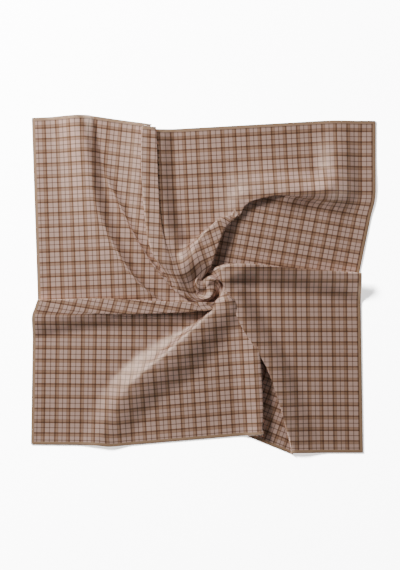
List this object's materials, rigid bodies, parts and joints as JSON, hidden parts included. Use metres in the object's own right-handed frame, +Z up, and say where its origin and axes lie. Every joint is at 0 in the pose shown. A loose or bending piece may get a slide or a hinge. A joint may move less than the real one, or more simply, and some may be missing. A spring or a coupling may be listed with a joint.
{
  "type": "silk scarf",
  "caption": "Square checked silk scarf with a rolled hem, laid out flat and twisted in the middle into a small knot with pleats running to its edges.",
  "frame": {"origin": "middle of the laid scarf's outline, on the surface it rests on", "axes": "+Z up from the surface, +Y towards the edge with the standing box pleat, +X towards the edge beside the long straight side"},
  "size_m": [0.818, 0.8038, 0.0372],
  "materials": {
    "silk": "soft sheen"
  },
  "bodies": {
    "root": {"scarf": "silk"}
  },
  "joints": []
}
